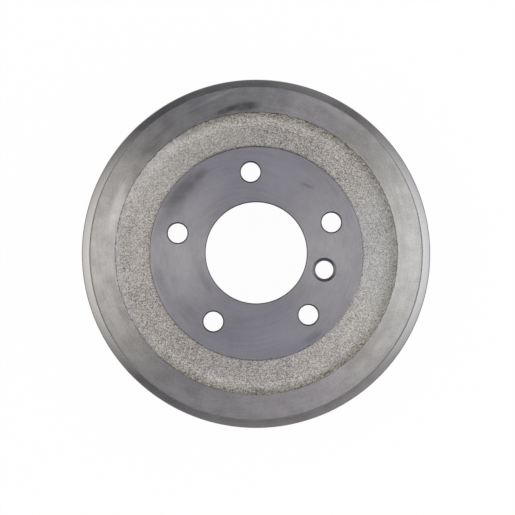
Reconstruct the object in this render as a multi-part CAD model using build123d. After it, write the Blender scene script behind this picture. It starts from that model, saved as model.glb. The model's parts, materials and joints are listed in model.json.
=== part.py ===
from build123d import *
import os
from math import atan2, cos, radians, sin, tan

# Brake drum for a car's rear wheel: one grey iron casting. It is turned on the faces that
# fit, run or show, and left as cast on the web between the hat and the shoulder, inside
# and out.
#
# Sizes are in millimetres and degrees. +Z is the wheel's axis and points outboard, away
# from the car. z = 0 is the end face of the open rim. Hole angles count from +X towards +Y.

# Hat: the flat middle, clamped between the wheel and the hub
height = 60.0  # from the rim's end face to the hat's face
hat_thickness = 7.5
hat_face_diameter = 157.0
hat_edge_height = 0.9  # of the step where the turned face ends
hat_edge_radius = 0.5  # at the foot of that step
centre_bore_diameter = 75.0
centre_bore_chamfer = 0.6
hub_pad_diameter = 145.0
hub_pad_height = 0.8  # how far the turned pad stands off the cast inside
pad_edge_radius = 0.6  # where the web starts, beside the hub pad

# Wheel bolt holes
bolt_count = 5
bolt_circle_diameter = 120.0
bolt_hole_diameter = 14.5
bolt_first_angle = 22.0
bolt_hole_chamfer = 0.9
bolt_hole_back_chamfer = 0.5
chamfer_angle = 90.0  # across the mouth of a bolt hole

# Hole for the screw that holds the drum to the hub while the wheel is off
screw_circle_diameter = 104.0
screw_hole_diameter = 13.4
screw_countersink_diameter = 17.8
screw_countersink_angle = 90.0

# Cast web: it falls away from the hat, then curves up to the shoulder
web_thickness = 7.0
web_fall = 4.4  # height of the straight fall
web_curve_width = 10.7  # radial width of the curve up to the shoulder

# Shoulder: the turned cone between the web and the outside wall
shoulder_drop = 1.9  # of its inner edge below the hat's face
shoulder_width = 19.2
shoulder_angle = 28.5
shoulder_edge_chamfer = 0.5

# Friction ring
friction_diameter = 228.6
wall_thickness = 9.3
wall_draft = 4.5
inner_corner_radius = 5.0
relief_width = 2.2  # of the groove where the friction face ends
relief_depth = 0.8
mouth_chamfer = 1.5

# Rim: the flared ring round the open end
rim_width = 18.2  # radial, from the friction face to the outside
rim_band_height = 13.3
flare_angle = 32.0
flare_root_radius = 2.0
rim_edge_chamfer = 0.8
groove_width = 4.6  # of the groove that the backing plate's lip runs in
groove_depth = 5.0
groove_corner_radius = 1.0

# Radii and heights that follow from the sizes above
bore_radius = centre_bore_diameter / 2
hat_radius = hat_face_diameter / 2
pad_radius = hub_pad_diameter / 2
friction_radius = friction_diameter / 2
relief_radius = friction_radius + relief_depth
wall_radius = friction_radius + wall_thickness
shoulder_radius = wall_radius - shoulder_width
rim_radius = friction_radius + rim_width
groove_inner = (friction_radius + rim_radius - groove_width) / 2
groove_outer = groove_inner + groove_width
pad_z = height - hat_thickness

# Corners of the outside, as (radius, height)
hat_foot = (hat_radius, height - hat_edge_height)
fall_end = (shoulder_radius - web_curve_width, hat_foot[1] - web_fall)
shoulder_edge = (shoulder_radius, height - shoulder_drop)
wall_top = (wall_radius, shoulder_edge[1] - shoulder_width * tan(radians(shoulder_angle)))

# The wall widens by wall_spread for each millimetre that it goes down, and the flare
# narrows by flare_run for each millimetre that it goes up. They meet at flare_root.
wall_spread = tan(radians(wall_draft))
flare_run = 1 / tan(radians(flare_angle))
flare_reach = rim_radius - wall_radius + rim_band_height * flare_run
flare_root_z = (flare_reach - wall_top[1] * wall_spread) / (flare_run - wall_spread)
flare_root = (wall_radius + (wall_top[1] - flare_root_z) * wall_spread, flare_root_z)
rim_top = (rim_radius, rim_band_height)

# Corners of the inside. The web keeps its thickness down the fall, then runs level.
web_slope = atan2(web_fall, fall_end[0] - hat_radius)
web_start = (pad_radius + hub_pad_height, pad_z + hub_pad_height)
floor_z = fall_end[1] - web_thickness
floor_start = (web_start[0] + (web_start[1] - floor_z) / tan(web_slope), floor_z)
inner_corner = (relief_radius, floor_z)
relief_end = (relief_radius, floor_z - inner_corner_radius - relief_width)
friction_end = (friction_radius, relief_end[1] - relief_depth)


def section():
    """Half of the drum's section, as a sketch of radius against height."""
    with BuildSketch(Plane.XZ) as half:
        with BuildLine():
            # outside, from the bore to the rim
            Polyline(
                (bore_radius, pad_z), (bore_radius, height), (hat_radius, height), hat_foot, fall_end
            )
            TangentArc(fall_end, shoulder_edge, tangent=(cos(web_slope), -sin(web_slope)))
            Polyline(shoulder_edge, wall_top, flare_root, rim_top, (rim_radius, 0))
            # the rim's end face and its groove
            Polyline(
                (rim_radius, 0),
                (groove_outer, 0),
                (groove_outer, groove_depth),
                (groove_inner, groove_depth),
                (groove_inner, 0),
                (friction_radius, 0),
            )
            # inside, from the mouth to the bore
            Polyline((friction_radius, 0), friction_end, relief_end, inner_corner, floor_start)
            Polyline(floor_start, web_start, (pad_radius, pad_z), (bore_radius, pad_z))
        make_face()
        rounded_corners = [
            (hat_foot, hat_edge_radius),
            (flare_root, flare_root_radius),
            ((groove_outer, groove_depth), groove_corner_radius),
            ((groove_inner, groove_depth), groove_corner_radius),
            (inner_corner, inner_corner_radius),
            (floor_start, inner_corner_radius),
            (web_start, pad_edge_radius),
        ]
        for corner, radius in rounded_corners:
            fillet(half.vertices().sort_by_distance(corner)[0], radius)
        cut_corners = [
            ((bore_radius, height), centre_bore_chamfer),
            ((bore_radius, pad_z), centre_bore_chamfer),
            (wall_top, shoulder_edge_chamfer),
            (rim_top, rim_edge_chamfer),
            ((rim_radius, 0), rim_edge_chamfer),
            ((friction_radius, 0), mouth_chamfer),
        ]
        for corner, length in cut_corners:
            chamfer(half.vertices().sort_by_distance(corner)[0], length)
    return half.sketch


def hole_places(circle_diameter, angles, z, facing_up=True):
    """Places on a circle at height z, each facing out of that side of the hat."""
    radius = circle_diameter / 2
    turn = 0 if facing_up else 180
    return [
        Location((radius * cos(radians(a)), radius * sin(radians(a)), z), (turn, 0, 0))
        for a in angles
    ]


def drum():
    """The turned casting with its bolt holes and its screw hole."""
    pitch = 360 / bolt_count
    bolt_angles = [bolt_first_angle + pitch * i for i in range(bolt_count)]
    screw_angle = bolt_first_angle - pitch / 2  # midway between two bolts
    bolt_radius = bolt_hole_diameter / 2
    with BuildPart() as casting:
        add(section())
        revolve(axis=Axis.Z)
        with Locations(*hole_places(bolt_circle_diameter, bolt_angles, height)):
            CounterSinkHole(bolt_radius, bolt_radius + bolt_hole_chamfer, height, chamfer_angle)
        with Locations(*hole_places(bolt_circle_diameter, bolt_angles, pad_z, facing_up=False)):
            CounterSinkHole(
                bolt_radius, bolt_radius + bolt_hole_back_chamfer, height, chamfer_angle
            )
        with Locations(*hole_places(screw_circle_diameter, [screw_angle], height)):
            CounterSinkHole(
                screw_hole_diameter / 2,
                screw_countersink_diameter / 2,
                height,
                screw_countersink_angle,
            )
    return casting.part


os.makedirs("parts", exist_ok=True)
brake_drum = drum()
export_step(brake_drum, "parts/brake_drum.step")
iron_density = 7.2e-6  # kg per cubic millimetre
print("mass", round(brake_drum.volume * iron_density, 2), "kg")
print("friction face from", mouth_chamfer, "to", round(friction_end[1], 2), "mm above the rim's end")
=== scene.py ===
# %% [markdown]
# # A brake drum, cast and then turned
#
# A brake drum starts as a rough casting of grey iron. A lathe then cuts the faces that fit,
# run or show, and leaves the rest with its sandy skin. This file builds the drum in the same
# order: a rough casting first, then cutting tools that take the turned faces out of it. The
# ragged line between rough and turned iron then comes about by itself, as it does in a
# machine shop, and doesn't have to be drawn.
#
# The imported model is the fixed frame. It says where everything goes, and its box is the size
# that the finished drum has to keep.

# %% Load the frame
import json
import math

import bpy
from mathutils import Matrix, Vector


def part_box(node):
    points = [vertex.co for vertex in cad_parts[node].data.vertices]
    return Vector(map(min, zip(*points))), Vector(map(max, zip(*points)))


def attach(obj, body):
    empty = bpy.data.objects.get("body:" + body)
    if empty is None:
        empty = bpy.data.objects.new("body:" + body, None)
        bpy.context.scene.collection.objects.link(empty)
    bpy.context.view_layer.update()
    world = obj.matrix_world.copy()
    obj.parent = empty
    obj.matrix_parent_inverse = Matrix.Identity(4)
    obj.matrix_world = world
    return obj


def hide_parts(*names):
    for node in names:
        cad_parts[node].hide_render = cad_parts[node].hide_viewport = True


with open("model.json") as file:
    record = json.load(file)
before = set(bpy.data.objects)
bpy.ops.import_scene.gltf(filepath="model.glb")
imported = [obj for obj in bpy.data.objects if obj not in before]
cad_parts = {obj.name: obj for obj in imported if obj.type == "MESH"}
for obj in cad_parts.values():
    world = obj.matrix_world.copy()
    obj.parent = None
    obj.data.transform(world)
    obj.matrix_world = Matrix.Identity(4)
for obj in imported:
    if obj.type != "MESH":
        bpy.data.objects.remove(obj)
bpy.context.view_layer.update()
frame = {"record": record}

# %% [markdown]
# ## Sizes
#
# Blender works in metres, and a machinist's drawing in millimetres. Every size below is in
# millimetres, and MM turns one into metres where it is used. The overall size and the places
# that something else has to fit could be typed in again, but then the two models might drift
# apart, so they come from the frame and its record. The others are the drawing's own sizes,
# each with its name.

# %% Sizes that the frame gives
MM = 0.001
box_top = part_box("brake_drum")[1]
mounts = {m["name"]: m for m in frame["record"]["mounts"]}
rim_radius = round(box_top.x / MM, 2)
hat_z = round(box_top.z / MM, 2)
pad_z = mounts["hub_face"]["pos_m"][2] / MM
bore_radius = mounts["centre_bore"]["dims"]["r_mm"]
friction_radius = mounts["friction_face"]["dims"]["r_mm"]
bolts = mounts["wheel_bolts"]["dims"]
screw_place = Vector(mounts["retaining_screw_hole"]["pos_m"][:2]) / MM
screw_hole_radius = mounts["retaining_screw_hole"]["dims"]["r_mm"]
print("rim radius", rim_radius, "hat at", hat_z, "pad at", pad_z, "bore", bore_radius)

# %% Sizes of the hat and the web
hat_radius = 78.5
hat_step = 0.9  # from the hat's face down to the foot of its edge
pad_radius = 72.5
pad_height = 0.8
web_thickness = 7.0
web_fall = 4.4
web_curve_width = 10.7
bore_chamfer = 0.6
bolt_first_angle = math.radians(22)
bolt_chamfer = 0.9
bolt_back_chamfer = 0.5
screw_chamfer = 2.2
print("hat", 2 * hat_radius, "across, web", web_thickness, "thick")

# %% Sizes of the shoulder, the ring and the rim
shoulder_drop = 1.9
shoulder_width = 19.2
shoulder_slope = math.tan(math.radians(28.5))
wall_thickness = 9.3
wall_draft = math.radians(4.5)
flare_angle = math.radians(32)
flare_root_radius = 2.0
rim_band_height = 13.3
rim_chamfer = 0.8
groove_width = 4.6
groove_depth = 5.0
groove_corner = 1.0
relief_z = 40.5  # where the friction face has run out into its relief
relief_depth = 0.8
inner_corner = 5.0
mouth_chamfer = 1.5
print("wall", wall_thickness, "thick, rim band", rim_band_height, "high")

# %% Places that follow, as (radius, height)
wall_radius = friction_radius + wall_thickness
shoulder_radius = wall_radius - shoulder_width
hat_foot = (hat_radius, hat_z - hat_step)
fall_end = (shoulder_radius - web_curve_width, hat_foot[1] - web_fall)
fall_slope = web_fall / (fall_end[0] - hat_radius)
shoulder_edge = (shoulder_radius, hat_z - shoulder_drop)
wall_top = (wall_radius, shoulder_edge[1] - shoulder_width * shoulder_slope)
floor_z = fall_end[1] - web_thickness  # of the web's underside, where it runs level
web_foot = (pad_radius + pad_height, pad_z + pad_height)
floor_start = (web_foot[0] + (web_foot[1] - floor_z) / fall_slope, floor_z)
groove_inner = (friction_radius + rim_radius - groove_width) / 2
groove_outer = groove_inner + groove_width
relief_radius = friction_radius + relief_depth
print("shoulder from", shoulder_edge, "to", wall_top)

# %% Where the wall meets the flare
wall_spread = math.tan(wall_draft)  # how far the wall widens for each mm down
flare_run = 1 / math.tan(flare_angle)  # how far the flare narrows for each mm up
flare_reach = rim_radius - wall_radius + rim_band_height * flare_run
flare_root_z = (flare_reach - wall_top[1] * wall_spread) / (flare_run - wall_spread)
flare_root = (wall_radius + (wall_top[1] - flare_root_z) * wall_spread, flare_root_z)
print("flare root", flare_root)

# %% [markdown]
# ## Tools for round pieces
#
# A lathe makes only round things, so every shape here starts as a section: one vertex that is
# extruded from corner to corner in the XZ plane. The Screw modifier, with no rise, then spins
# it round the Z axis. Edit mode's Spin makes the same mesh, but takes half a minute for one
# as fine as the casting's skin. Doubles are merged and the normals recalculated after it,
# because a spun section can come out with its faces turned inwards.

# %% Draw a section
def select_only(piece):
    bpy.ops.object.select_all(action="DESELECT")
    piece.select_set(True)
    bpy.context.view_layer.objects.active = piece


def draw_section(name, corners):
    """A line of vertices through the corners, given in mm as (radius, height)."""
    bpy.ops.object.select_all(action="DESELECT")
    bpy.ops.mesh.primitive_plane_add(size=MM)
    piece = bpy.context.object
    piece.name = piece.data.name = name
    bpy.ops.object.mode_set(mode="EDIT")
    bpy.ops.mesh.select_mode(type="VERT")
    bpy.ops.mesh.select_all(action="SELECT")
    bpy.ops.mesh.merge(type="CENTER")
    bpy.ops.transform.translate(value=(corners[0][0] * MM, 0, corners[0][1] * MM))
    for (r0, z0), (r1, z1) in zip(corners, corners[1:]):
        step = ((r1 - r0) * MM, 0, (z1 - z0) * MM)
        bpy.ops.mesh.extrude_region_move(TRANSFORM_OT_translate={"value": step})
    bpy.ops.object.mode_set(mode="OBJECT")
    return piece


# %% Round a corner of a section
def near(vertex, corner, within=0.05):
    return math.dist((vertex.co.x / MM, vertex.co.z / MM), corner) < within


def round_corner(section, corner, reach, steps=8):
    """Bevels one corner, reach mm along both its edges. One step makes a chamfer."""
    for edge in section.data.edges:
        edge.select = False
    for vertex in section.data.vertices:
        vertex.select = near(vertex, corner)
    select_only(section)
    bpy.ops.object.mode_set(mode="EDIT")
    bpy.ops.mesh.select_mode(type="VERT")
    bpy.ops.mesh.bevel(
        offset=reach * MM, offset_type="OFFSET", affect="VERTICES", segments=steps, profile=0.5
    )
    bpy.ops.object.mode_set(mode="OBJECT")


# %% Spin a section
doubles_within = 0.001 * MM


def spin_section(section, steps):
    """Turns a section into a closed solid of revolution round the Z axis."""
    select_only(section)
    screw = section.modifiers.new("spin", "SCREW")
    screw.axis = "Z"
    screw.screw_offset = 0
    screw.angle = 2 * math.pi
    screw.steps = screw.render_steps = steps
    screw.use_merge_vertices = True
    screw.merge_threshold = doubles_within
    bpy.ops.object.modifier_apply(modifier="spin")
    bpy.ops.object.mode_set(mode="EDIT")
    bpy.ops.mesh.select_all(action="SELECT")
    bpy.ops.mesh.remove_doubles(threshold=doubles_within)
    bpy.ops.mesh.normals_make_consistent(inside=False)
    bpy.ops.object.mode_set(mode="OBJECT")
    print(section.name, "spun:", len(section.data.polygons), "faces")
    return section


# %% [markdown]
# ## Materials
#
# Grey iron has two faces on this drum: bare metal where the tool has cut it, and the dull
# print of the sand where it is as cast. A picture could be wrapped round the drum instead,
# but it would blur close up and stretch at the edges. Patterns that are worked out from the
# place on the drum stay sharp everywhere, and their scales can be set from real sizes.

# %% Helpers for materials
def linear(hex_colour):
    """An sRGB hex colour as the linear RGBA that Blender's sockets take."""
    channels = [int(hex_colour[i : i + 2], 16) / 255 for i in (1, 3, 5)]
    return [c / 12.92 if c <= 0.04045 else ((c + 0.055) / 1.055) ** 2.4 for c in channels] + [1]


def add(material, kind, sockets=None, **settings):
    """Adds a node. A socket is given a value, or another node's output to link to."""
    tree = material.node_tree
    new = tree.nodes.new("ShaderNode" + kind)
    for name, value in settings.items():
        setattr(new, name, value)
    for name, value in (sockets or {}).items():
        if isinstance(value, bpy.types.NodeSocket):
            tree.links.new(value, new.inputs[name])
        else:
            new.inputs[name].default_value = value
    return new


def start_material(name):
    """A node material with a bare Principled BSDF, and its place on the drum in mm."""
    material = bpy.data.materials.new(name)
    material.use_nodes = True
    material.node_tree.nodes.clear()
    bsdf = add(material, "BsdfPrincipled")
    add(material, "OutputMaterial", {"Surface": bsdf.outputs["BSDF"]})
    place = add(material, "TexCoord").outputs["Object"]
    in_mm = add(
        material, "Mapping", {"Vector": place, "Scale": (1 / MM, 1 / MM, 1 / MM)}
    ).outputs["Vector"]
    return material, bsdf, in_mm


# %% Place round the axis
def round_axis(material, place):
    """The place's x, y and z, the part of it across the axis, and the radius."""
    apart = add(material, "SeparateXYZ", {"Vector": place}).outputs
    across = add(material, "CombineXYZ", {"X": apart["X"], "Y": apart["Y"]}).outputs[0]
    radius = add(material, "VectorMath", {0: across}, operation="LENGTH").outputs["Value"]
    return apart, across, radius


# %% [markdown]
# ## Marks
#
# A drum that has been handled and stored isn't even. Coolant dries on it in smudges, and oil
# in a few places. Other marks are painted light and shade: pale and dark patches on the web and
# the shoulder, and broad faint pale patches on the hat.
# Each mark here is a soft ellipse in a tint of its own. They could be painted by hand, but a
# short table of places is easier to read and to change. A noise breaks the marks up, because
# no real stain has a smooth edge.

# %% Soft marks
def soft_mark(material, place, centre, size, turn):
    """An elliptical patch on the drum that is 1 at its middle and fades to 0 at its rim."""
    spot = add(
        material,
        "Mapping",
        {
            "Vector": place,
            "Location": (centre[0], centre[1], 0),
            "Rotation": (0, 0, math.radians(turn)),
            "Scale": (size[0], size[1], 1 / MM),
        },
        vector_type="TEXTURE",
    )
    fade = add(material, "TexGradient", {"Vector": spot.outputs[0]}, gradient_type="SPHERICAL")
    return add(
        material, "MapRange", {"Value": fade.outputs["Fac"], "From Max": 0.7},
        interpolation_type="SMOOTHSTEP",
    ).outputs["Result"]


mark_patch_size = 7.0  # mm across the uneven patches in a mark
thinnest = 0.6  # how much of a mark is left where it is thinnest


def with_marks(material, place, colour, marks):
    """Lays each mark, given as centre, size, turn, strength and tint, over the colour."""
    if not marks:
        return colour
    patchy = add(material, "TexNoise", {"Vector": place, "Scale": 1 / mark_patch_size, "Detail": 4.0})
    uneven = add(
        material, "MapRange",
        {"Value": patchy.outputs["Fac"], "From Min": 0.35, "From Max": 0.6, "To Min": thinnest},
    ).outputs["Result"]
    for centre, size, turn, strength, tint in marks:
        mark = soft_mark(material, place, centre, size, turn)
        cover = add(material, "Math", {0: mark, 1: strength}, operation="MULTIPLY").outputs[0]
        cover = add(material, "Math", {0: cover, 1: uneven}, operation="MULTIPLY").outputs[0]
        colour = add(
            material, "Mix", {"Factor": cover, 6: colour, 7: linear(tint)}, data_type="RGBA"
        ).outputs[2]
    return colour


# %% [markdown]
# ## Turned iron
#
# The lathe leaves fine grooves that run round the axis. They draw a reflection out across
# themselves, so the light on the drum gathers in a bow tie that turns with the viewer, as it
# does on the base of a pan. Modelling each groove would take millions of faces. The shader's
# anisotropy does the same, with its tangent running round the axis, and a small bump keeps
# the grooves visible close up. Metal has no colour of its own but its reflection's tint, so
# metallic is 1 and the IOR stays as it is.

# %% Lathe streaks
streak_radius = 9.0  # the streaks are drawn as on this radius, so they are long and narrow
streak_scale = 0.6  # for each mm, so a streak is one or two mm wide
blotch_size = 12.0
grain_size = 0.8  # graphite specks are finer, too fine to show
tone_range = 0.45


def lathe_streaks(material, place, streaky, fine):
    """How light a turned face is, from 0 to 1, with its blotches and the radius."""
    apart, across, radius = round_axis(material, place)
    around = add(material, "VectorMath", {0: across}, operation="NORMALIZE")
    rings = add(material, "CombineXYZ", {"X": radius, "Y": apart["Z"]})
    long_way = (streak_radius, streak_radius, streak_radius)
    swept = add(
        material, "VectorMath",
        {0: around.outputs[0], 1: long_way, 2: rings.outputs[0]}, operation="MULTIPLY_ADD",
    )
    streaks = add(
        material, "TexNoise",
        {"Vector": swept.outputs[0], "Scale": streak_scale, "Detail": 4.0},
    )
    blotches = add(
        material, "TexNoise", {"Vector": place, "Scale": 1 / blotch_size, "Detail": 5.0}
    ).outputs["Fac"]
    grain = add(material, "TexNoise", {"Vector": place, "Scale": 1 / grain_size, "Detail": 2.0})
    mixed = add(
        material, "Math", {0: streaks.outputs["Fac"], 1: streaky, 2: blotches},
        operation="MULTIPLY_ADD",
    )
    mixed = add(
        material, "Math", {0: grain.outputs["Fac"], 1: fine, 2: mixed.outputs[0]},
        operation="MULTIPLY_ADD",
    )
    middle = 0.5 * (1 + streaky + fine)
    share = add(
        material, "MapRange",
        {
            "Value": mixed.outputs[0],
            "From Min": middle - tone_range,
            "From Max": middle + tone_range,
        },
    )
    return share.outputs["Result"], blotches, radius


# %% Turned iron
feed_size = 0.6  # real feed marks are about 0.2 mm apart, too fine to show, so these are wider
feed_height = 0.0005


def turned_iron(name, light, dark, roughness, lay, streaky=0.4, fine=0.5, marks=()):
    """Bare grey iron from the lathe. lay is how far the grooves draw out a reflection."""
    material, bsdf, place = start_material(name)
    share, blotches, radius = lathe_streaks(material, place, streaky, fine)
    colour = add(
        material, "Mix", {"Factor": share, 6: linear(dark), 7: linear(light)}, data_type="RGBA"
    ).outputs[2]
    colour = with_marks(material, place, colour, marks)
    rough = add(
        material, "MapRange",
        {
            "Value": blotches,
            "From Min": 0.3,
            "From Max": 0.7,
            "To Min": roughness - 0.03,
            "To Max": roughness + 0.03,
        },
    )
    grooves = add(material, "Tangent", direction_type="RADIAL", axis="Z")
    feed = add(
        material, "TexNoise", {"W": radius, "Scale": 1 / feed_size, "Detail": 2.0},
        noise_dimensions="1D",
    )
    bump = add(
        material, "Bump",
        {"Height": feed.outputs["Fac"], "Distance": feed_height * MM, "Strength": 1.0},
    )
    links = material.node_tree.links
    links.new(colour, bsdf.inputs["Base Color"])
    links.new(rough.outputs["Result"], bsdf.inputs["Roughness"])
    links.new(grooves.outputs[0], bsdf.inputs["Tangent"])
    links.new(bump.outputs[0], bsdf.inputs["Normal"])
    bsdf.inputs["Metallic"].default_value = 1.0
    bsdf.inputs["Anisotropic"].default_value = lay
    bsdf.inputs["Anisotropic Rotation"].default_value = 0.25  # across the grooves
    return material


# %% [markdown]
# ## As-cast iron
#
# The mould's sand prints itself into the skin of the casting, as grains of light and dark
# that scatter the light, and the skin is dull with scale. Its mesh carries the real dents, of
# 1 mm and more, and this material adds the grains, which are finer than the mesh. Voronoi
# cells give them, because a grain has an edge that plain noise hasn't. The skin isn't clean
# metal, so metallic is 0.7 and the roughness high.
#
# A dark line of painted shade lies in the corner at the hat's foot, darkest on the far side.
# Under the shoulder the skin is painted paler on the left, as light, and brown with small dark
# pits on the right, as shade and shadow.

# %% Grains of sand
sand_size = 0.5  # moulding sand is about 0.3 mm, too fine to show, so a grain is larger here
lump_size = 1.2
patch_size = 16.0


def sand_grains(material, place):
    """How light the skin is, from 0 to 1, and the height of its small lumps."""
    cells = add(material, "TexVoronoi", {"Vector": place, "Scale": 1 / sand_size})
    grain = add(material, "SeparateColor", {"Color": cells.outputs["Color"]}).outputs[0]
    lumps = add(
        material, "TexNoise", {"Vector": place, "Scale": 1 / lump_size, "Detail": 2.0}
    ).outputs["Fac"]
    patches = add(material, "TexNoise", {"Vector": place, "Scale": 1 / patch_size, "Detail": 3.0})
    mixed = add(material, "Math", {0: lumps, 1: 0.6, 2: grain}, operation="MULTIPLY_ADD")
    mixed = add(
        material, "Math", {0: patches.outputs["Fac"], 1: 0.3, 2: mixed.outputs[0]},
        operation="MULTIPLY_ADD",
    )
    share = add(
        material, "MapRange", {"Value": mixed.outputs[0], "From Min": 0.42, "From Max": 1.48}
    )
    return share.outputs["Result"], lumps


# %% Painted shade at the hat's foot
foot_start = 78.7  # radius where the painted shade is darkest
foot_end = 80.6
# beyond the foot the painted shade lifts a little more
unshaded_start = 80.8
unshaded_end = 92.0
far_start = 45.0  # the far side, where the painted shade is darkest, begins past this y
far_end = 78.0


def with_painted_foot_shade(material, colour, apart, radius):
    """Paints shade into the colour at the hat's foot, darkest on the far side, and lightens it a
    little beyond.
    """
    darkest_shade = add(
        material, "MapRange",
        {"Value": apart["Y"], "From Min": far_start, "From Max": far_end,
         "To Min": 0.66, "To Max": 0.44},
    ).outputs[0]
    foot = add(
        material, "MapRange",
        {"Value": radius, "From Min": foot_start, "From Max": foot_end,
         "To Min": darkest_shade, "To Max": 0.93},
    ).outputs[0]
    unshaded = add(
        material, "MapRange",
        {"Value": radius, "From Min": unshaded_start, "From Max": unshaded_end,
         "To Min": 0.0, "To Max": 0.07},
    ).outputs[0]
    shade = add(material, "Math", {0: foot, 1: unshaded}, operation="ADD").outputs[0]
    return add(
        material, "VectorMath", {0: colour, "Scale": shade}, operation="SCALE"
    ).outputs[0]


# %% Painted light and shade under the shoulder
side_light_start = 98.5  # radius
side_light_end = 102.5
lit_side_end = -97.0  # painted light left of this x, and painted shade right of the next
shaded_side_start = -50.0
shadow_pit_size = 1.1


def with_painted_side_light(material, colour, place, apart, radius, side_light):
    """Paints pale light on the skin under the shoulder on the left, and brown shade with small
    dark shadow pits on the right.
    """
    under = add(
        material, "MapRange", {"Value": radius, "From Min": side_light_start, "From Max": side_light_end}
    ).outputs[0]
    side = add(
        material, "MapRange", {"Value": apart["X"], "From Min": lit_side_end, "From Max": shaded_side_start}
    ).outputs[0]
    # pale painted light on the left, brown painted shade on the right
    tint = add(
        material, "Mix", {"Factor": side, 6: linear("#C6C2C8"), 7: linear("#A19B84")},
        data_type="RGBA",
    ).outputs[2]
    side_lit = add(material, "Math", {0: under, 1: side_light}, operation="MULTIPLY").outputs[0]
    colour = add(
        material, "Mix", {"Factor": side_lit, 6: colour, 7: tint}, data_type="RGBA"
    ).outputs[2]
    # small dark pits of painted shadow on the shaded side
    cells = add(material, "TexVoronoi", {"Vector": place, "Scale": 1 / shadow_pit_size})
    chance = add(material, "SeparateColor", {"Color": cells.outputs["Color"]}).outputs[0]
    shadow_pit = add(
        material, "MapRange",
        {"Value": chance, "From Min": 0.12, "From Max": 0.3, "To Min": 0.65, "To Max": 0.0},
    ).outputs[0]
    shadow_pit = add(material, "Math", {0: shadow_pit, 1: under}, operation="MULTIPLY").outputs[0]
    shadow_pit = add(material, "Math", {0: shadow_pit, 1: side}, operation="MULTIPLY").outputs[0]
    return add(
        material, "Mix", {"Factor": shadow_pit, 6: colour, 7: linear("#4A463F")}, data_type="RGBA"
    ).outputs[2]


# %% As-cast skin
lump_height = 0.12


def cast_skin(name, light, dark, roughness=0.62, side_light=0.3, marks=()):
    """Grey iron as the sand mould leaves it: dull, with the grain of the sand."""
    material, bsdf, place = start_material(name)
    apart, _, radius = round_axis(material, place)
    share, lumps = sand_grains(material, place)
    colour = add(
        material, "Mix", {"Factor": share, 6: linear(dark), 7: linear(light)}, data_type="RGBA"
    ).outputs[2]
    # painted shade at the hat's foot
    colour = with_painted_foot_shade(material, colour, apart, radius)
    # painted light and shade under the shoulder
    colour = with_painted_side_light(material, colour, place, apart, radius, side_light)
    colour = with_marks(material, place, colour, marks)
    bump = add(
        material, "Bump", {"Height": lumps, "Distance": lump_height * MM, "Strength": 1.0}
    )
    material.node_tree.links.new(colour, bsdf.inputs["Base Color"])
    material.node_tree.links.new(bump.outputs[0], bsdf.inputs["Normal"])
    bsdf.inputs["Roughness"].default_value = roughness
    bsdf.inputs["Metallic"].default_value = 0.7
    return material


# %% [markdown]
# ## The finishes
#
# Every turned face came off a cut of its own, so they don't shine alike. The hat is faced
# with a broad tool and is the dullest and bluest. The shoulder and the rim are cut finer and
# are brighter. The wall, out of sight on a car, is rough turned. Each gets a finish of its
# own, and each is named for how it was made.

# %% Marks on the hat, as (x, y), (length, width), turn, strength, tint
smudge = "#5E5D60"  # dried coolant
wear_and_painted_light = "#A3A2A4"  # rubbed brighter, and painted light where the patches are broad and faint
hat_marks = [
    ((-54.0, 47.0), (27, 8.5), 43, 0.75, smudge),
    ((-67.0, 27.0), (22, 8), 68, 0.4, smudge),
    ((-40.5, 58.0), (8, 4), 45, 0.35, smudge),
    ((37.9, 49.6), (7, 1.5), -26, 1.0, smudge),
    ((-58.5, 35.0), (14, 8), 57, 0.45, smudge),
    ((-38.5, -19.5), (17, 4), -62, 0.35, smudge),
    ((-52.0, -44.0), (18, 9), -48, 0.25, smudge),
    ((-17.0, -57.0), (20, 16), 10, 0.18, smudge),
    ((-70.0, -22.0), (24, 5), -70, 0.3, smudge),
    ((41.5, -62.5), (11, 4), 32, 0.4, smudge),
    ((17.0, -63.0), (34, 9), 14, 0.2, wear_and_painted_light),
    ((58.0, 5.0), (12, 8), 80, 0.25, wear_and_painted_light),
    # two broad pale patches of painted light
    ((28.0, 48.0), (46, 26), -45, 0.32, wear_and_painted_light),
    ((36.0, -48.0), (44, 20), 37, 0.25, wear_and_painted_light),
    ((-36.0, 42.0), (28, 10), 45, 0.3, wear_and_painted_light),
    ((-55.0, -8.0), (26, 10), -75, 0.25, wear_and_painted_light),
]
print("marks on the hat:", len(hat_marks))

# %% Marks on the shoulder
oily = "#4A4B46"
# a pale grey for patches of painted highlight
painted_highlight = "#C9C8C6"
# a grey for patches of painted shade
painted_shade_grey = "#8A8887"
shoulder_marks = [
    ((-8.0, 108.8), (16, 5), 8, 0.75, oily),
    ((-22, 106.0), (12, 3.2), 20, 0.7, oily),
    ((-30, 116), (34, 2.0), 26, 0.55, "#C4C3C6"),
    ((-77, 81), (18, 7), 45, 0.35, smudge),
    # a painted highlight along the shoulder's inner edge, on the left
    ((-103.8, 33.5), (26, 6), 72, 0.5, "#CFCECE"),
    ((-101.0, -38.0), (26, 5), -70, 0.3, smudge),
    # a broad patch of painted shade
    ((88.0, 68.0), (34, 12), 128, 0.35, painted_shade_grey),
    # two patches of painted highlight
    ((64.0, 104.0), (24, 7), 148, 0.35, painted_highlight),
    ((-57.0, -106.0), (22, 7), -28, 0.25, painted_highlight),
]
shaded_radius = 108.0  # painted shade along the shoulder's inner edge, on the right
for degrees in (-42, -24, -6, 12, 30):
    turn = math.radians(degrees)
    along = (shaded_radius * math.cos(turn), shaded_radius * math.sin(turn))
    shoulder_marks.append((along, (28, 6), degrees + 90, 0.3, painted_shade_grey))
print("marks on the shoulder:", len(shoulder_marks))

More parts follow.
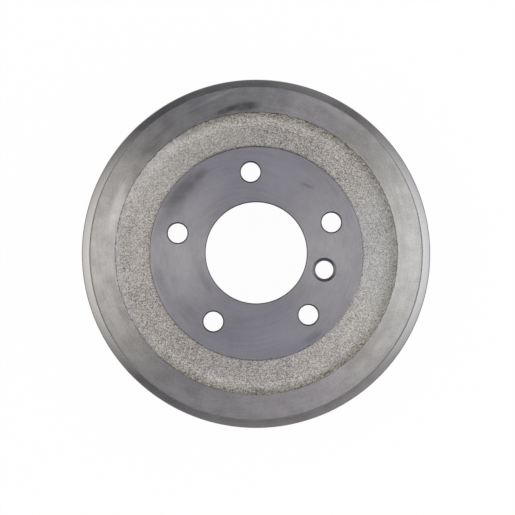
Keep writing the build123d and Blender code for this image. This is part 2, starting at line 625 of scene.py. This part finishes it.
# %% Marks on the cast skin
# a pale grey for patches of painted light
painted_light_pale = "#D8D6D2"
skin_marks = [
    ((18.3, 81.4), (0.9, 0.9), 0, 1.0, "#1E1C1B"),  # a blowhole, painted as a dark spot of shade, as the mesh has no hole there
    # broad pale patches of painted light, on the left, at the top and at the lower right
    ((-63, 70), (62, 30), 45, 0.27, painted_light_pale),
    ((-73, 71), (40, 9), 45, 0.1, "#CCCCD8"),
    ((-18, 85), (26, 12), 12, 0.2, "#CFCCC8"),
    ((64, -60), (70, 26), 45, 0.12, painted_light_pale),
    ((92, 8), (34, 85), 0, 0.4, "#A3A7AD"),  # painted cool light on the right side
    # painted shade at the top left, under the shoulder
    ((-42, 93.5), (40, 5), 24, 0.35, "#6B6764"),
    ((-90, 8), (9, 46), 0, 0.15, painted_light_pale),
]
step_painted_light = [((66, -42), (52, 16), 55, 1.0, "#B5B1AC")]  # painted light, where the step faces the bright lamps
print("marks on the skin:", len(skin_marks) + len(step_painted_light))

# %% The finishes
finishes = {
    # dull and grainy, with the print of the sand
    "skin": cast_skin("grey_iron_as_cast", "#D8D4D0", "#656160", marks=skin_marks),
    # a dark broken line of painted shade on the narrow steps
    "step": cast_skin("grey_iron_in_the_step", "#6A6663", "#3A3633", 0.8, 0.0, step_painted_light),
    # satin, with faint rings and a soft bow tie of light
    "hat": turned_iron("grey_iron_faced", "#9A989D", "#79777C", 0.47, 0.9, 0.6, 0.7, hat_marks),
    # brighter and more streaky, with a strong bow tie
    "outside": turned_iron(
        "grey_iron_turned", "#B2B0AF", "#888686", 0.38, 0.62, 0.5, 1.2, shoulder_marks
    ),
    # dark, even and a little soft
    "wall": turned_iron("grey_iron_wall", "#7B7979", "#6B696A", 0.4, 0.6),
    "root": turned_iron("grey_iron_in_the_root", "#7A7877", "#6C6A69", 0.45, 0.3),
    # the brightest, as a finishing cut leaves it
    "rim": turned_iron("grey_iron_rim", "#9D9B97", "#8D8B87", 0.26, 0.6),
    # bright and smooth, for the shoes
    "inside": turned_iron("grey_iron_bored", "#A4A3A3", "#969595", 0.3, 0.8),
    # dark and plain, because a drill leaves no broad rings
    "sunk": turned_iron("grey_iron_countersunk", "#7D7B7F", "#727074", 0.45, 0.0),
    "drilled": turned_iron("grey_iron_drilled", "#5E5C5B", "#504E4D", 0.4, 0.0),
}
print("finishes:", [m.name for m in finishes.values()])

# %% [markdown]
# ## The rough casting
#
# A foundry casts the drum a little too large wherever the lathe will cut, and the section
# here does the same. Only the web between the hat and the shoulder is drawn at its final
# place. The casting could be left out and the finished section spun at once, but then the
# line between rough and turned would be a perfect circle, which it never is.

# %% The casting's corners
allowance = 1.6  # iron that the casting has to spare where it is turned
bore_allowance = 3.0  # and where it is bored
boss_top = (hat_radius - 0.6, hat_z + allowance)  # the boss leans, to leave the mould
boss_foot = (hat_radius + 0.75, hat_foot[1])
bored_radius = bore_radius - bore_allowance
ring_radius = friction_radius - bore_allowance
step_foot = (shoulder_edge[0] + 0.2, shoulder_edge[1] - 0.8)
spare_top = (shoulder_edge[0] + 1.1, shoulder_edge[1] + allowance)
spare_rim = rim_radius + allowance
spare_wall_radius = wall_radius + allowance
spare_wall = (
    spare_wall_radius, spare_top[1] - shoulder_slope * (spare_wall_radius - spare_top[0])
)
print("the lathe has to take off", allowance, "outside and", bore_allowance, "inside")

# %% Where the web turns up to the shoulder
rise = math.tan(math.radians(51))  # of the web's last stretch, up to the shoulder
drop = fall_end[1] + fall_slope * fall_end[0] + rise * shoulder_edge[0] - shoulder_edge[1]
curve_corner_radius = drop / (rise + fall_slope)
curve_corner = (
    curve_corner_radius, fall_end[1] - fall_slope * (curve_corner_radius - fall_end[0])
)
print("the web turns up at", curve_corner)

# %% Draw the casting's section
web_curve_reach = 5.8  # along both sides of the corner that the web's curve rounds off
boss_foot_reach = 0.5
floor_reach = 3.0
casting_corners = [
    (bored_radius, pad_z - allowance),
    (bored_radius, hat_z + allowance),
    boss_top,
    boss_foot,
    curve_corner,
    step_foot,
    spare_top,
    spare_wall,
    (flare_root[0] + allowance, flare_root[1] + 2),
    (spare_rim, rim_band_height + 1),
    (spare_rim, -allowance),
    (ring_radius, -allowance),
    (ring_radius, relief_z),
    (ring_radius, floor_z),
    floor_start,
    web_foot,
    (pad_radius + 0.4, pad_z - allowance),
    (bored_radius, pad_z - allowance),
]
drum = draw_section("brake_drum_turned", casting_corners)
round_corner(drum, curve_corner, web_curve_reach, steps=12)
round_corner(drum, boss_foot, boss_foot_reach, steps=3)
round_corner(drum, floor_start, floor_reach, steps=4)
print("casting's section:", len(drum.data.vertices), "vertices")

# %% [markdown]
# ## The print of the sand
#
# Sand leaves dents that show against the light, so they belong in the mesh and not only in
# the material. The web is divided finely first, about 0.7 mm a face, because a vertex has to
# be there before it can move. The Displace modifier then pushes each one in or out by a soft
# noise, which is quicker and more even than sculpting. Where the boss and the shoulder were
# only just reached by the tool, the print is deeper, so the cut comes out ragged there.

# %% Divide the web finely and spin the casting
face_size = 0.7
casting_steps = 960


def divide(section, low_r, high_r, low_z, spacing):
    """Divides the section's edges in a band of radii, above low_z, to about spacing mm."""
    for _ in range(3):
        for edge in section.data.edges:
            ends = [section.data.vertices[i].co / MM for i in edge.vertices]
            middle = (ends[0] + ends[1]) / 2
            long_enough = (ends[0] - ends[1]).length > spacing * 1.5
            edge.select = low_r < middle.x < high_r and middle.z > low_z and long_enough
        for vertex in section.data.vertices:
            vertex.select = False
        select_only(section)
        bpy.ops.object.mode_set(mode="EDIT")
        bpy.ops.mesh.select_mode(type="EDGE")
        bpy.ops.mesh.subdivide(number_cuts=2)
        bpy.ops.object.mode_set(mode="OBJECT")


web_inner = hat_radius - 0.4
web_outer = spare_top[0] + 1
divide(drum, web_inner, web_outer, fall_end[1] - 4, face_size)
print("divided:", len(drum.data.vertices), "vertices")
drum.data.materials.append(finishes["skin"])
# the second slot holds the step finish, which is painted shade
drum.data.materials.append(finishes["step"])
spin_section(drum, casting_steps)

# %% Where the print is deeper
ragged_side = Vector((0.82, -0.57))  # where the lathe only just reached the boss
least_ragged = 0.15
beside_boss = 2.0
inside_shoulder = 2.5


def outside_radius(vertex):
    """Its radius in mm, or 0 for a vertex below the web's top side."""
    return vertex.co.xy.length / MM if vertex.co.z / MM > fall_end[1] else 0.0


hat_edge_group = drum.vertex_groups.new(name="hat_edge")
edge_group = drum.vertex_groups.new(name="shoulder_edge")
for v in drum.data.vertices:
    r = outside_radius(v)
    if abs(r - hat_radius) < beside_boss:
        ragged = max(0.0, v.co.xy.normalized().dot(ragged_side)) ** 2
        hat_edge_group.add([v.index], least_ragged + (1 - least_ragged) * ragged, "REPLACE")
    if r > shoulder_edge[0] - inside_shoulder:
        edge_group.add([v.index], 1.0, "REPLACE")
print("groups:", [group.name for group in drum.vertex_groups])

# %% The steps beside the turned faces, painted dark as shade
steep = 0.6  # the upward share of a normal on the boss's side
boss_side_width = 1.2
painted_shade_slot = 1
# the boss's steep side and the skin outside the shoulder's edge take the step finish, painted
# shade
for face in drum.data.polygons:
    r = face.center.xy.length / MM
    boss_side = abs(r - hat_radius) < boss_side_width and abs(face.normal.z) < steep
    if (boss_side or r > shoulder_edge[0] + 0.1) and face.center.z / MM > fall_end[1]:
        face.material_index = painted_shade_slot
print("faces in the steps:", sum(f.material_index == painted_shade_slot for f in drum.data.polygons))

# %% Print the sand
def sand_print(piece, name, grain, depth, where=""):
    """Moves the surface in and out by a soft noise, grain mm wide and depth mm deep."""
    texture = bpy.data.textures.new(name, type="CLOUDS")
    texture.noise_scale = grain * MM
    texture.noise_depth = 1
    select_only(piece)
    press = piece.modifiers.new(name, "DISPLACE")
    press.texture = texture
    press.texture_coords = "LOCAL"
    press.strength = depth * MM
    press.mid_level = 0.5
    press.vertex_group = where
    bpy.ops.object.modifier_apply(modifier=name)


sand_print(drum, "sand_coarse", 9, 0.35)
sand_print(drum, "sand_fine", 1.4, 0.22)
sand_print(drum, "sand_edge", 2.2, 1.5, "shoulder_edge")
sand_print(drum, "sand_boss", 1.8, 1.8, "hat_edge")
drum.vertex_groups.clear()
print("sand printed on", len(drum.data.vertices), "vertices")

# %% The casting sits a little off the lathe's axis
off_axis = (0.2 * MM, -0.5 * MM, 0)
select_only(drum)
bpy.ops.transform.translate(value=off_axis)
bpy.ops.object.transform_apply(location=True, rotation=True, scale=True)
print("casting moved by", off_axis)

# %% [markdown]
# ## Turning and drilling
#
# A lathe tool sweeps a ring of room, and whatever iron stands in it comes off. Each cutter
# here is a solid that holds that room, so its own faces are the faces that it leaves. The
# sections could be joined by hand instead, but where rough iron meets turned iron no section
# is the same as the next, and a Boolean modifier finds that line by itself. It takes the
# cutter away from the casting and, with its materials set to transfer, gives the new faces
# the cutter's finish.

# %% Cut with a swept tool
clear = 6.0  # how far a cutter runs past the iron
tool_steps = 360


def cut(piece, cutter, finish, others=()):
    """Takes the cutter out of the piece. others are finishes for bands of height."""
    cutter.data.materials.clear()
    cutter.data.materials.append(finish)
    for slot, (band_finish, bottom, top) in enumerate(others, 1):
        cutter.data.materials.append(band_finish)
        for face in cutter.data.polygons:
            if bottom < face.center.z / MM < top:
                face.material_index = slot
    select_only(piece)
    boolean = piece.modifiers.new("cut", "BOOLEAN")
    boolean.operation = "DIFFERENCE"
    boolean.solver = "MANIFOLD"
    boolean.material_mode = "TRANSFER"
    boolean.object = cutter
    before = len(piece.data.polygons)
    bpy.ops.object.modifier_apply(modifier="cut")
    print(cutter.name, "took", before, "faces to", len(piece.data.polygons))
    bpy.data.objects.remove(cutter)


# %% [markdown]
# The outside is turned in one chucking, from the shoulder's edge down over the wall and the
# flare to the rim, and round to the groove in its end face. Corners that a tool's nose would
# round are rounded, and sharp edges that a fitter would break get a small chamfer.

# %% The outside tool
tool_top = hat_z + clear
run_in = 4.5  # how far the tool starts inside the shoulder's edge
broken_edge = 0.2
start = (shoulder_radius - run_in, shoulder_edge[1] + run_in * shoulder_slope)
outside_corners = [
    start,
    shoulder_edge,
    wall_top,
    flare_root,
    (rim_radius, rim_band_height),
    (rim_radius, 0),
    (groove_outer, 0),
    (groove_outer, groove_depth),
    (groove_inner, groove_depth),
    (groove_inner, 0),
    (friction_radius + 1, 0),
    (friction_radius + 1, -clear),
    (rim_radius + clear, -clear),
    (rim_radius + clear, tool_top),
    (start[0], tool_top),
    start,
]
root_bend = math.pi / 2 - flare_angle - wall_draft
root_reach = flare_root_radius * math.tan(root_bend / 2)
outside = draw_section("outside_tool", outside_corners)
round_corner(outside, wall_top, broken_edge, steps=1)
round_corner(outside, flare_root, root_reach, steps=6)
round_corner(outside, (rim_radius, rim_band_height), rim_chamfer, steps=1)
round_corner(outside, (rim_radius, 0), rim_chamfer, steps=1)
round_corner(outside, (groove_outer, groove_depth), groove_corner, steps=4)
round_corner(outside, (groove_inner, groove_depth), groove_corner, steps=4)
print("outside tool:", len(outside.data.vertices), "vertices")

# %% Turn the outside
root_top = flare_root[1] + 2.5
root_foot = flare_root[1] - 0.12
shoulder_foot = wall_top[1] - 0.05
bands = [
    (finishes["wall"], root_top, shoulder_foot),
    (finishes["root"], root_foot, root_top),
    (finishes["rim"], rim_band_height, root_foot),
    (finishes["wall"], -clear - 1, rim_band_height),
]
cut(drum, spin_section(outside, tool_steps), finishes["outside"], bands)

# %% [markdown]
# The hat is faced flat, so that the wheel sits square. The tool runs a little past the hat's
# edge, and the boss's rough side is left standing below it as a narrow step.

# %% Face the hat
past_edge = hat_radius + 2.2
facing_corners = [(0, hat_z), (past_edge, hat_z), (past_edge, tool_top), (0, tool_top)]
hat_tool = draw_section("facing_tool", facing_corners)
cut(drum, spin_section(hat_tool, tool_steps), finishes["hat"])

# %% [markdown]
# The inside is bored from the open end: the friction face that the shoes run on, the relief
# where it ends, the rounded inner corner, and the pad that sits on the hub. The web between
# them keeps its cast skin, so the tool's section runs under it without touching it.

# %% Bore the inside
corner_start = relief_radius - inner_corner - 0.05
under_web = floor_z - 2
inside_corners = [
    (0, -clear),
    (friction_radius + mouth_chamfer + clear, -clear),
    (friction_radius, mouth_chamfer),
    (friction_radius, relief_z - relief_depth),
    (relief_radius, relief_z),
    (relief_radius, floor_z),
    (corner_start, floor_z),
    (corner_start, under_web),
    (pad_radius, under_web),
    (pad_radius, pad_z),
    (0, pad_z),
]
inside = draw_section("boring_tool", inside_corners)
round_corner(inside, (relief_radius, floor_z), inner_corner)
cut(drum, spin_section(inside, tool_steps), finishes["inside"])

# %% [markdown]
# The holes are drilled and countersunk last. One section holds the drill and the countersinks
# of both sides, so that each hole is a single cut with edges that line up. The wheel bolts
# clamp on the hat, so their holes only have their edges broken. The screw has a cone for its
# head.

# %% Drill the hat
def drill(name, place, radius, chamfer, back_chamfer, steps=64, finish="drilled"):
    """A drill with its countersinks on both sides of the hat, stood at its place."""
    corners = [
        (0, pad_z - clear),
        (radius + back_chamfer + clear, pad_z - clear),
        (radius, pad_z + back_chamfer),
        (radius, hat_z - chamfer),
        (radius + chamfer + clear, hat_z + clear),
        (0, hat_z + clear),
    ]
    if not back_chamfer:
        corners[1:3] = [(radius, pad_z - clear)]
    tool = spin_section(draw_section(name, corners), steps)
    bpy.ops.transform.translate(value=(place[0] * MM, place[1] * MM, 0))
    bpy.ops.object.transform_apply(location=True, rotation=True, scale=True)
    cut(drum, tool, finishes[finish])


drill("bore_tool", (0, 0), bore_radius, bore_chamfer, bore_chamfer, steps=256)
bolt_circle_radius = bolts["pcd_mm"] / 2
for i in range(bolts["count"]):
    angle = bolt_first_angle + 2 * math.pi * i / bolts["count"]
    place = (bolt_circle_radius * math.cos(angle), bolt_circle_radius * math.sin(angle))
    drill(f"bolt_drill_{i + 1}", place, bolts["hole_r_mm"], bolt_chamfer, bolt_back_chamfer)
drill("screw_drill", screw_place, screw_hole_radius, screw_chamfer, 0, finish="sunk")

# %% [markdown]
# ## The finished piece
#
# Turned faces should look smooth round the drum, while every turned edge stays crisp. Smooth
# shading with an angle limit does both without more faces. The piece then takes the place of
# the plain node.

# %% Finish the mesh
sharp_from = math.radians(28)
select_only(drum)
bpy.ops.object.shade_smooth_by_angle(angle=sharp_from)
triangles = sum(len(p.vertices) - 2 for p in drum.data.polygons)
print("drum:", triangles, "triangles,", [m.name for m in drum.data.materials])
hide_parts("brake_drum")
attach(drum, "root")

# %% [markdown]
# ## Floor
#
# The drum lies on its open end on white paper. A brightly lit sheet would light the drum from
# below as well. The Light Path node lets the camera and the reflections see it nearly white,
# while the paper itself stays plain and holds a soft shadow.

# %% Floor
floor_size = 6.0
floor_gap = 0.0002  # keeps the paper from touching the rim's end face
whiteness = 0.97


def studio_floor():
    """White paper that keeps a soft shadow, and that the camera sees nearly white."""
    material = bpy.data.materials.new("white_paper")
    material.use_nodes = True
    material.node_tree.nodes.clear()
    path = add(material, "LightPath").outputs
    seen = add(
        material, "Math", {0: path["Is Camera Ray"], 1: path["Is Glossy Ray"]},
        operation="MAXIMUM",
    ).outputs[0]
    seen = add(
        material, "Math", {0: seen, 1: path["Is Transmission Ray"]}, operation="MAXIMUM"
    ).outputs[0]
    share = add(material, "Math", {0: seen, 1: whiteness}, operation="MULTIPLY").outputs[0]
    paper = add(material, "BsdfDiffuse", {"Color": linear("#F4F3F0")})
    white = add(material, "Emission", {"Color": linear("#FFFFFF"), "Strength": 1.0})
    mixed = add(material, "MixShader", {0: share, 1: paper.outputs[0], 2: white.outputs[0]})
    add(material, "OutputMaterial", {"Surface": mixed.outputs[0]})
    return material


bpy.ops.object.select_all(action="DESELECT")
bpy.ops.mesh.primitive_plane_add(size=floor_size, location=(0, 0, -floor_gap))
ground = bpy.context.object
ground.name = "studio_floor"
bpy.ops.object.transform_apply(location=True, rotation=True, scale=True)
ground.data.materials.append(studio_floor())
print("floor:", floor_size, "m across")

# %% [markdown]
# ## Light
#
# Bare metal shows little but what it reflects, so its look is made by large soft lamps. Tall
# banks on the left and right put the bow tie of light on the shoulder and the rim, and the
# lamps near and far are dimmer, which leaves those sides dark. The bank on the right is a
# little stronger and cooler. Each lamp is brightest at its middle, as a real softbox is, so
# that no hard edge shows in the turned faces. A dim bluish world fills the rest, and the
# camera sees it as white as the floor.

# %% Softboxes
def softbox(name, place, size, aim, radiance, colour):
    """A rectangular lamp that faces aim, brightest at its middle."""
    light = bpy.data.lights.new(name, type="AREA")
    light.shape = "RECTANGLE"
    light.size, light.size_y = size
    light.energy = radiance * math.pi * size[0] * size[1]
    light.color = linear(colour)[:3]
    light.use_nodes = True
    light.node_tree.nodes.clear()
    across = add(light, "NewGeometry").outputs["Parametric"]
    centred = add(
        light, "Mapping", {"Vector": across, "Location": (-1, -1, 0), "Scale": (2, 2, 0)}
    )
    glow = add(light, "TexGradient", {"Vector": centred.outputs[0]}, gradient_type="SPHERICAL")
    strength = add(
        light, "MapRange", {"Value": glow.outputs["Fac"]}, interpolation_type="SMOOTHSTEP"
    )
    emission = add(light, "Emission", {"Strength": strength.outputs[0]})
    add(light, "OutputLight", {"Surface": emission.outputs[0]})
    lamp = bpy.data.objects.new(name, light)
    bpy.context.scene.collection.objects.link(lamp)
    lamp.location = place
    lamp.rotation_euler = (Vector(aim) - Vector(place)).to_track_quat("-Z", "Y").to_euler()
    lamp.visible_camera = False


level = (0, 0, 0.35)
on_drum = (0, 0, 0.05)
softboxes = [
    ("right_low", (1.4, 0, 0.35), (4.6, 0.9), level, 3.7, "#F2F5FF"),
    ("right_high", (1.2, 0, 1.3), (4.6, 1.4), on_drum, 2.4, "#FFFDE4"),
    ("left_low", (-1.4, 0, 0.35), (3.8, 0.9), level, 3.1, "#FFFEFF"),
    ("left_high", (-1.2, 0, 1.3), (4.6, 1.4), on_drum, 1.7, "#FFFDE2"),
    ("top", (0, 0, 2.4), (4.0, 4.0), (0, 0, 0), 1.8, "#FFFFFF"),
    ("near", (0.2, -1.5, 1.0), (4.4, 1.8), on_drum, 0.88, "#FEF9F8"),
    ("far", (0.25, 1.5, 1.0), (4.4, 1.8), on_drum, 0.5, "#FAFCEE"),
    ("far_right", (0.51, 1.41, 1.0), (0.9, 1.4), on_drum, 0.85, "#F4EEFC"),
    ("near_right", (0.78, -1.28, 1.0), (0.9, 1.4), on_drum, 0.65, "#F4EEFC"),
]
for box in softboxes:
    softbox(*box)
print("softboxes:", len(softboxes))

# %% The world
world = bpy.data.worlds.new("studio")
bpy.context.scene.world = world
world.use_nodes = True
world.node_tree.nodes.clear()
dim = add(world, "Background", {"Color": linear("#C4C4F8"), "Strength": 0.16})
white = add(world, "Background", {"Color": linear("#FFFFFF"), "Strength": whiteness})
seen = add(world, "LightPath").outputs["Is Camera Ray"]
backdrop = add(world, "MixShader", {0: seen, 1: dim.outputs[0], 2: white.outputs[0]})
add(world, "OutputWorld", {"Surface": backdrop.outputs[0]})
print("world:", world.name)

# %% [markdown]
# ## Camera
#
# The camera looks straight down on the hat, from about 1.7 m with a long lens, and
# stands a little off the axis. A Track To constraint could roll the picture when it
# looks straight down, so the two small tilts are worked out here.

# %% Camera
camera_data = bpy.data.cameras.new("camera")
camera_data.sensor_width = 36
camera_data.lens = 156.9
camera = bpy.data.objects.new("camera", camera_data)
bpy.context.scene.collection.objects.link(camera)
bpy.context.scene.camera = camera
camera.location = (-0.0048, -0.0241, 1.72)
sight = Vector((0.00093, -0.00351, 0.06)) - camera.location
camera.rotation_euler = (math.atan2(sight.y, -sight.z), math.atan2(-sight.x, -sight.z), 0)
bpy.context.scene.view_settings.view_transform = "Standard"
print("camera", round(sight.length, 3), "m away")
